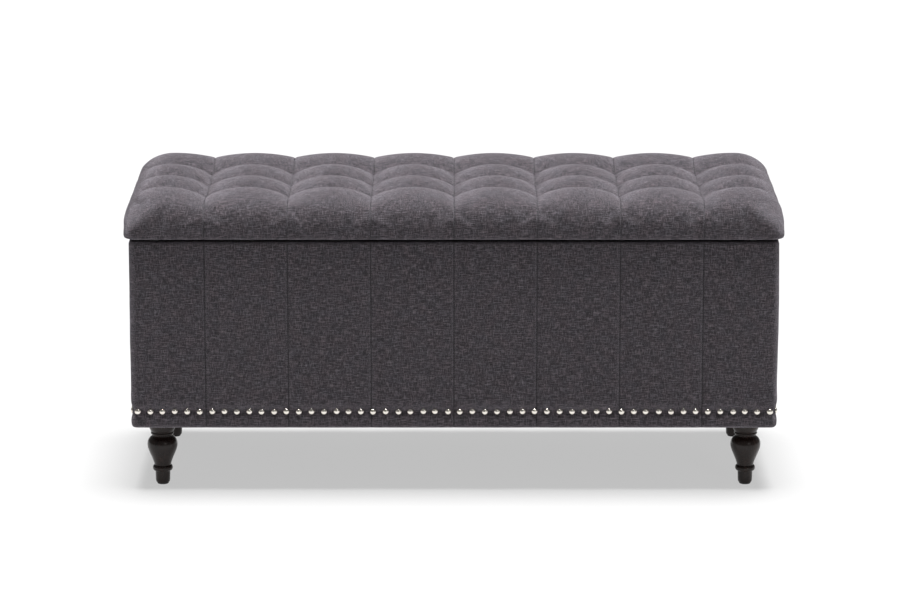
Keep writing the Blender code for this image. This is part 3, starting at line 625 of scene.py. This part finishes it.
def lining_tray():
    """The floor and four walls of the inner lining, cut from one piece with its corners out."""
    low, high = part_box("box_lining")
    thick = 1.2 * MM
    nx, ny, nz = 96, 36, 26
    index, points, faces = {}, [], []

    def vertex(side, i, j, k):
        key = (side, i, j, k)
        if key not in index:
            index[key] = len(points)
            u, v, w = i / nx, j / ny, k / nz
            inward = Vector((float(i == 0) - float(i == nx), float(j == 0) - float(j == ny), float(k == 0)))
            fold = noise.noise(Vector((u * 22, v * 9, w * 5 + 2))) + 0.5 * noise.noise(Vector((u * 55, v * 24, w * 12)))
            free = min(1.0, 7 * (1 - w)) if k else 1.0
            lift = thick + 1.1 * MM * free * max(fold + 0.25, 0.0) if side else 0.0
            points.append(Vector((low.x + (high.x - low.x) * u, low.y + (high.y - low.y) * v,
                                  low.z + (high.z - low.z) * w)) + inward * lift)
        return index[key]

    ring = [(i, 0) for i in range(nx)] + [(nx, j) for j in range(ny)]
    ring += [(i, ny) for i in range(nx, 0, -1)] + [(0, j) for j in range(ny, 0, -1)]
    for side in (0, 1):
        turn = -1 if side == 0 else 1
        for i in range(nx):
            for j in range(ny):
                quad = ((i, j), (i + 1, j), (i + 1, j + 1), (i, j + 1))
                faces.append(tuple(vertex(side, a, b, 0) for a, b in quad)[::turn])
        for k in range(nz):
            for (i, j), (p, q) in zip(ring, ring[1:] + ring[:1]):
                quad = (vertex(side, p, q, k), vertex(side, i, j, k),
                        vertex(side, i, j, k + 1), vertex(side, p, q, k + 1))
                faces.append(quad[::turn])
    for (i, j), (p, q) in zip(ring, ring[1:] + ring[:1]):
        faces.append((vertex(0, i, j, nz), vertex(0, p, q, nz), vertex(1, p, q, nz), vertex(1, i, j, nz)))
    tray = mesh_piece("box_lining_tray", points, faces, cambric, "box", 50)
    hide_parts("box_lining")


def wire(points, faces, path, radius, steps=6):
    """Adds a round wire along a path, closed at its ends."""
    rings = []
    for n, middle in enumerate(path):
        run = (path[min(n + 1, len(path) - 1)] - path[max(n - 1, 0)]).normalized()
        side = run.orthogonal().normalized()
        up = run.cross(side)
        rings.append(len(points))
        points += [middle + radius * (side * math.cos(math.tau * t / steps) + up * math.sin(math.tau * t / steps))
                   for t in range(steps)]
    for one, two in zip(rings, rings[1:]):
        faces += [(one + t, one + (t + 1) % steps, two + (t + 1) % steps, two + t) for t in range(steps)]
    faces.append(tuple(rings[0] + t for t in reversed(range(steps))))
    faces.append(tuple(rings[-1] + t for t in range(steps)))


def staples(name, body, runs):
    """Steel staples along straight runs: (first middle, last middle, count, way out of the cloth)."""
    points, faces = [], []
    for start, end, count, out in runs:
        start, end, out = Vector(start), Vector(end), Vector(out)
        run = (end - start).normalized()
        for n in range(count):
            turned_run = (run + out.cross(run) * chance.uniform(-0.22, 0.22)).normalized()
            middle = start.lerp(end, n / (count - 1)) + run * chance.uniform(-2, 2) * MM
            path = [middle + turned_run * a * MM + out * b * MM for a, b in
                    ((-5, -0.9), (-5, 0.1), (-4.7, 0.4), (0, 0.45), (4.7, 0.4), (5, 0.1), (5, -0.9))]
            wire(points, faces, path, 0.45 * MM)
    piece = mesh_piece(name, points, faces, zinc, body, 50)


lining_tray()
stapled_sheet("dust_cover_sheet", "dust_cover", "box", 3.0 * MM, 0.8 * MM, (120, 44))
stapled_sheet("lid_lining_sheet", "lid_lining", "lid", 0.7 * MM, 0.15 * MM, (120, 48))
low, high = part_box("dust_cover")
edge, z = 9 * MM, low.z
staples("dust_cover_staples", "box", [
    ((low.x + 40 * MM, low.y + edge, z), (high.x - 40 * MM, low.y + edge, z), 22, (0, 0, -1)),
    ((low.x + 40 * MM, high.y - edge, z), (high.x - 40 * MM, high.y - edge, z), 22, (0, 0, -1)),
    ((low.x + edge, low.y + 60 * MM, z), (low.x + edge, high.y - 60 * MM, z), 7, (0, 0, -1)),
    ((high.x - edge, low.y + 60 * MM, z), (high.x - edge, high.y - 60 * MM, z), 7, (0, 0, -1))])
low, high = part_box("lid_lining")
edge, z = 8 * MM, low.z
staples("lid_lining_staples", "lid", [
    ((low.x + 20 * MM, low.y + edge, z), (high.x - 20 * MM, low.y + edge, z), 26, (0, 0, -1)),
    ((low.x + 20 * MM, high.y - 16 * MM, z), (-0.47, high.y - 16 * MM, z), 3, (0, 0, -1)),
    ((-0.37, high.y - 16 * MM, z), (0.37, high.y - 16 * MM, z), 16, (0, 0, -1)),
    ((0.47, high.y - 16 * MM, z), (high.x - 20 * MM, high.y - 16 * MM, z), 3, (0, 0, -1)),
    ((low.x + edge, low.y + 35 * MM, z), (low.x + edge, high.y - 35 * MM, z), 9, (0, 0, -1)),
    ((high.x - edge, low.y + 35 * MM, z), (high.x - edge, high.y - 35 * MM, z), 9, (0, 0, -1))])
low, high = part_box("box_lining")
inner, z = 1.4 * MM, high.z - 7 * MM
staples("box_lining_staples", "box", [
    ((low.x + 25 * MM, low.y + inner, z), (high.x - 25 * MM, low.y + inner, z), 26, (0, 1, 0)),
    ((low.x + 25 * MM, high.y - inner, z), (high.x - 25 * MM, high.y - inner, z), 26, (0, -1, 0)),
    ((low.x + inner, low.y + 25 * MM, z), (low.x + inner, high.y - 25 * MM, z), 9, (1, 0, 0)),
    ((high.x - inner, low.y + 25 * MM, z), (high.x - inner, high.y - 25 * MM, z), 9, (-1, 0, 0))])

# ---- Felt bumpers ---------------------------------------------------------------------------------------------------
# Two round black felt pads glued under the lid's front corners, so it closes softly on the box.


def black_felt():
    felt = Finish("black_felt", Roughness=0.95, Sheen_Weight=0.3, Sheen_Roughness=0.5)
    fuzz = felt.grain(felt.place(), 1500, 5.0, 0.75)
    colour = felt.ramp(fuzz, (0.3, (0.010, 0.010, 0.011)), (0.7, (0.034, 0.033, 0.034)))
    return felt.end(colour, None, felt.relief(fuzz, 0.0006, 0.7))


felt = black_felt()
for side in ("left", "right"):
    low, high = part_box(f"lid_bumper_{side}")
    radius, thick = (high.x - low.x) / 2, high.z - low.z
    pad = [(0, 0), (radius - 1.6 * MM, 0), (radius - 0.7 * MM, 0.3 * MM), (radius - 0.15 * MM, 1.0 * MM),
           (radius, 2.0 * MM), (radius - 0.15 * MM, thick - 0.8 * MM), (radius - 0.8 * MM, thick - 0.2 * MM),
           (radius - 1.5 * MM, thick), (0, thick)]
    bumper = mesh_piece(f"felt_bumper_{side}",
                        *turned(pad, ((low.x + high.x) / 2, (low.y + high.y) / 2, low.z), steps=36), felt, "lid", 60)
    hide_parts(f"lid_bumper_{side}")

# ---- Lid cushion ----------------------------------------------------------------------------------------------------
# Thick foam on a plywood board under one sewn cover of the same linen. Seams both ways divide it into pillows, and
# twine pulled through each crossing sinks it. The seams run on over the rounded edge and down its sides.

CELLS_ACROSS, CELLS_ALONG, ROLL_CELLS, WALL_CELLS = 24, 18, 9, 5
ROLL = Vector((70.0, 70.0, 57.0)) * MM
BOTTOM_CORNER = 22.0 * MM
SEAM_DEPTH, VALLEY_DEPTH, TUFT_DEPTH, SIDE_SEAM_DEPTH = 24.0 * MM, 25.0 * MM, 38.0 * MM, 2.6 * MM


def corner_reach(turn, radius, full):
    """Where a ray at an angle from the centre of a round corner meets the same corner drawn with a smaller radius."""
    turn = min(turn, math.pi / 2 - turn)
    straight = full / math.cos(turn)
    if full * math.tan(turn) <= full - radius:
        return straight
    centre = Vector((full - radius, full - radius))
    ray = Vector((math.cos(turn), math.sin(turn)))
    along = ray.dot(centre)
    return along + math.sqrt(max(radius**2 - (centre.length_squared - along**2), 0.0))


def tufted_lid():
    low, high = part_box("lid_cover")
    half = Vector(((high.x - low.x) / 2, (high.y - low.y) / 2))
    mid_y = (low.y + high.y) / 2
    crown = high.z - 2.0 * MM
    column_edges = [-half.x] + COLUMN_SEAMS + [half.x]
    row_edges = [-half.y] + [y - mid_y for y in ROW_SEAMS] + [half.y]

    def stations(edges, cells):
        """Steps over each pillow, close together beside its seams and even between."""
        steps = []
        for a, b in zip(edges, edges[1:]):
            near = [0.0] if a == edges[0] else [0.0, 1.6 * MM, 4.4 * MM]
            far = [] if b == edges[-1] else [4.4 * MM, 1.6 * MM]
            start, end = a + near[-1], b - (far[0] if far else 0.0)
            between = cells - len(near) - len(far) + 1
            steps += [a + d for d in near[:-1]]
            steps += [start + (end - start) * i / between for i in range(between + (1 if far else 0))]
            steps += [b - d for d in far[1:]]
        return steps + [edges[-1]]

    xs, ys = stations(column_edges, CELLS_ACROSS), stations(row_edges, CELLS_ALONG)
    roll_start = crown - ROLL.z
    zs = [low.z + 4 * MM + (roll_start - low.z - 4 * MM) * k / WALL_CELLS for k in range(WALL_CELLS)]
    zs += [roll_start + ROLL.z * k / ROLL_CELLS for k in range(ROLL_CELLS + 1)]
    nx, ny, nz = len(xs) - 1, len(ys) - 1, len(zs) - 1

    def past(value, start, size):
        """How far round the roll a distance from the middle is, 0 to 1 at 45 degrees, warped so the steps are even."""
        return math.tan(min(max((value - start) / size, 0.0), 1.0) * math.pi / 4)

    def outermost(edges, value, seam_reach):
        """The seam profile across a pillow: 1 on a seam, 0 at the pillow's middle."""
        for left, right in zip(edges, edges[1:]):
            if left <= value <= right:
                break
        if left == edges[0]:
            return max(0.0, 1 - abs(right - value) / seam_reach) ** 2
        if right == edges[-1]:
            return max(0.0, 1 - abs(value - left) / seam_reach) ** 2
        a = (2 * value - left - right) / (right - left)
        return a * a

    def place(i, j, k):
        x, y, z = xs[i], ys[j], zs[k]
        dx, dy = past(abs(x), half.x - ROLL.x, ROLL.x), past(abs(y), half.y - ROLL.y, ROLL.y)
        dz = past(z, roll_start, ROLL.z)
        if i in (0, nx):
            dx = 1.0
        if j in (0, ny):
            dy = 1.0
        if k == nz:
            dz = 1.0
        norm = math.sqrt(dx * dx + dy * dy + dz * dz)
        direction = Vector((dx, dy, dz)) / norm
        core = Vector((min(abs(x), half.x - ROLL.x), min(abs(y), half.y - ROLL.y), min(z, roll_start)))
        height = core.z + ROLL.z * direction.z
        if dx and dy:
            turn = math.atan2(direction.y, direction.x)
            soft = smooth_step((height - low.z - 6 * MM) / (60 * MM))
            ratio = corner_reach(turn, BOTTOM_CORNER + (ROLL.x - BOTTOM_CORNER) * soft, ROLL.x) / ROLL.x
        else:
            ratio = 1.0
        sign_x, sign_y = math.copysign(1, x), math.copysign(1, y)
        point = Vector((
            sign_x * (core.x + ROLL.x * direction.x * ratio),
            sign_y * (core.y + ROLL.y * direction.y * ratio),
            height,
        ))
        normal = Vector((sign_x * direction.x / ROLL.x, sign_y * direction.y / ROLL.y, direction.z / ROLL.z))
        if not dz:
            normal.z = 0
        normal.normalize()
        # distances over the surface, past the outermost seams
        over_x = math.atan2(dx, math.hypot(dy, dz)) if dx else 0.0
        over_y = math.atan2(dy, math.hypot(dx, dz)) if dy else 0.0
        drop = max(roll_start - z, 0.0)
        arc = 63 * MM
        unrolled_x = core.x + arc * over_x + (drop if i in (0, nx) else 0.0)
        unrolled_y = core.y + arc * over_y + (drop if j in (0, ny) else 0.0)
        across = outermost(column_edges, x, 76 * MM) if abs(x) < COLUMN_SEAMS[-1] else max(
            0.0, 1 - (unrolled_x - COLUMN_SEAMS[-1]) / (76 * MM)) ** 2
        along = outermost(row_edges, y, 60 * MM) if row_edges[1] < y < row_edges[-2] else max(
            0.0, 1 - (unrolled_y - min(abs(row_edges[1]), abs(row_edges[-2]))) / (60 * MM)) ** 2
        over_edge_x = smooth_step((unrolled_x - (half.x - ROLL.x - 6 * MM)) / (92 * MM))
        over_edge_y = smooth_step((unrolled_y - (half.y - ROLL.y - 6 * MM)) / (92 * MM))
        back = 0.42 if y > row_edges[-2] else 0.80 if y < row_edges[1] else 0.92
        on_side = SIDE_SEAM_DEPTH * (1 - 0.5 * smooth_step(drop / (25 * MM)))
        seam = SEAM_DEPTH * back * (1 - over_edge_y) + on_side * over_edge_y
        valley = VALLEY_DEPTH * (1 - over_edge_x) + on_side * over_edge_x
        beside = min(min(abs(x - s) for s in column_edges[1:-1]), min(abs(y - s) for s in row_edges[1:-1]))
        depth = across * (1 - along) * seam + along * (1 - across) * valley + across * along * TUFT_DEPTH
        depth += 1.0 * MM * bell(beside, 1.7 * MM)
        point -= normal * depth
        over_end = core.x + (arc * math.atan2(dx, dz) if dx else 0.0) + drop
        over_front = core.y + (arc * math.atan2(dy, dz) if dy else 0.0) + drop
        cloth = ((x, math.copysign(over_front, y)), (math.copysign(over_end, x), y), dx - dy)
        return point + Vector((0, mid_y, 0)), cloth, bell(beside, 1.5 * MM)

    index, points, flat, shaded = {}, [], [], []

    def vertex(i, j, k):
        if (i, j, k) not in index:
            index[i, j, k] = len(points)
            point, cloth, shade = place(i, j, k)
            points.append(point)
            flat.append(cloth)
            shaded.append(shade)
        return index[i, j, k]

    faces = [(vertex(i, j, nz), vertex(i + 1, j, nz), vertex(i + 1, j + 1, nz), vertex(i, j + 1, nz))
             for i in range(nx) for j in range(ny)]
    ring = [(i, 0) for i in range(nx)] + [(nx, j) for j in range(ny)]
    ring += [(i, ny) for i in range(nx, 0, -1)] + [(0, j) for j in range(ny, 0, -1)]
    for k in range(nz):
        for (i, j), (p, q) in zip(ring, ring[1:] + ring[:1]):
            faces.append((vertex(i, j, k), vertex(p, q, k), vertex(p, q, k + 1), vertex(i, j, k + 1)))
    seams = {v for (i, j, k), v in index.items()
             if (i % CELLS_ACROSS == 0 and 0 < i < nx) or (j % CELLS_ALONG == 0 and 0 < j < ny)}
    lowest = [vertex(i, j, 0) for i, j in ring]
    loops = [lowest]
    for inset, rise in ((1.2 * MM, 1.2 * MM), (4.0 * MM, 0.0), (14.0 * MM, 0.0), (44.0 * MM, 0.0)):
        loop = []
        for v in lowest:
            x, y, _ = points[v]
            x = math.copysign(max(abs(x) - inset, 0), x) if abs(x) > half.x - 60 * MM else x
            y -= mid_y
            y = math.copysign(max(abs(y) - inset, 0), y) if abs(y) > half.y - 60 * MM else y
            loop.append(len(points))
            points.append(Vector((x, y + mid_y, low.z + rise)))
            (front_x, front_y), (end_x, end_y), lean = flat[v]
            flat.append(((front_x, front_y + math.copysign(inset, front_y)),
                         (end_x + math.copysign(inset, end_x), end_y), lean))
            shaded.append(0.0)
        loops.append(loop)
    for one, two in zip(loops, loops[1:]):
        for a in range(len(one)):
            b = (a + 1) % len(one)
            faces.append((one[b], one[a], two[a], two[b]))
    inner = loops[-1]  # closed flat under the board: one strip for each step across, and one face at each end
    front, right_end, back = inner[:nx + 1], inner[nx:nx + ny + 1], inner[nx + ny:2 * nx + ny + 1]
    left_end = inner[2 * nx + ny:] + inner[:1]
    for i in range(1, nx - 1):
        faces.append((front[i], back[nx - i], back[nx - i - 1], front[i + 1]))
    faces.append(tuple([front[1]] + left_end[::-1] + [back[nx - 1]]))
    faces.append(tuple([back[1]] + right_end[::-1] + [front[nx - 1]]))
    cushion = mesh_piece("lid_fabric", points, faces, linen, "lid", 0)
    mark_seams(cushion, shaded)
    return cushion, flat, seams, {v for loop in loops for v in loop}


def inflate(piece, held, frames, pressure, cap, slack):
    """Puffs the cloth up between its held points, and keeps each point within a cap of where it began."""
    shape = piece.data
    before = [v.co.copy() for v in shape.vertices]
    pins = piece.vertex_groups.new(name="held")
    for v, weight in held.items():
        pins.add([v], weight, "REPLACE")
    cloth = piece.modifiers.new("cloth", "CLOTH")
    settings = cloth.settings
    settings.quality = 6
    settings.mass = 0.3
    settings.tension_stiffness = settings.compression_stiffness = 30
    settings.shear_stiffness = 12
    settings.bending_stiffness = 0.6
    settings.air_damping = 3
    settings.vertex_group_mass = pins.name
    settings.use_pressure = True
    settings.uniform_pressure_force = pressure
    settings.shrink_min = -slack
    settings.effector_weights.gravity = 0
    cloth.point_cache.frame_start, cloth.point_cache.frame_end = 1, frames
    cloth.collision_settings.use_collision = False
    for number in range(1, frames + 1):
        scene.frame_set(number)
    settled = piece.evaluated_get(bpy.context.evaluated_depsgraph_get())
    after = [v.co.copy() for v in settled.data.vertices]
    piece.modifiers.remove(cloth)
    piece.vertex_groups.remove(pins)
    scene.frame_set(1)
    for vertex, old, new in zip(shape.vertices, before, after):
        move = new - old
        if move.length > cap:
            move = move * (cap / move.length)
        vertex.co = old + move
    shape.update()


lid_fabric, lid_flat, lid_seams, lid_hem = tufted_lid()


def lid_cloth_place(polygon, vertex):
    """The cloth runs over the front and back, or over the ends, and meets in a mitre at the corners."""
    lean = sum(lid_flat[v][2] for v in polygon.vertices)
    return lid_flat[vertex][1 if lean > 0 else 0]


lay_flat(lid_fabric, lid_cloth_place)
inflate(lid_fabric, {v: 1.0 for v in lid_seams | lid_hem}, 20, 3.0, 9 * MM, 0.02)
creases = lid_fabric.data.attributes.new("crease_edge", "FLOAT", "EDGE")
creases.data.foreach_set("value", [
    0.9 if all(v in lid_seams for v in edge.vertices) else 0.0 for edge in lid_fabric.data.edges])
finer = lid_fabric.modifiers.new("finer", "SUBSURF")
finer.levels = finer.render_levels = 1
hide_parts("lid_cover", "lid_foam")

# ---- Hinges and lid stays -------------------------------------------------------------------------------------------
# Zinc-plated butt hinges on the back edge, and black-painted slotted stays that stop the lid when it is open.


def black_paint():
    paint = Finish("black_painted_steel", Roughness=0.42, Coat_Weight=0.1)
    speckle = paint.grain(paint.place(), 1400, 2.0)
    colour = paint.ramp(speckle, (0.3, (0.018, 0.018, 0.019)), (0.7, (0.030, 0.030, 0.032)))
    return paint.end(colour, paint.spread(speckle, 0.3, 0.7, 0.34, 0.5), paint.relief(speckle, 0.00004, 0.3))


stay_paint = black_paint()
for side in ("left", "right"):
    repaint([f"stay_stud_{side}", f"stay_bracket_{side}", f"stay_arm_{side}"], stay_paint)
    repaint([f"hinge_{side}_box_leaf", f"hinge_{side}_lid_leaf", f"hinge_{side}_pin", f"stay_rivet_{side}"], zinc)

SCREW = [(0.0, -9.0), (1.1, -7.0), (1.2, -1.6), (1.95, -0.7), (2.0, -0.35), (1.85, -0.2), (0.95, -0.18), (0.8, -0.3),
         (0.7, -0.95), (0.0, -1.1)]
AXIS_Y, AXIS_Z = 240.5 * MM, 483.75 * MM
for side in ("left", "right"):
    low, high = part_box(f"hinge_{side}_box_leaf")
    for leaf, body, up, face in (("box", "box", 1, AXIS_Z - 0.45 * MM), ("lid", "lid", -1, AXIS_Z + 0.45 * MM)):
        points, faces = [], []
        for along in (-21.3 * MM, 21.3 * MM):
            head = ((low.x + high.x) / 2 + along, AXIS_Y - 16.24 * MM, face)
            screw_points, screw_faces = turned([(r * MM, h * MM) for r, h in SCREW], head, (0, 0, up), steps=20)
            faces += [tuple(len(points) + v for v in f) for f in screw_faces]
            points += screw_points
        screws = mesh_piece(f"hinge_{side}_{leaf}_screws", points, faces, zinc, body, 35)
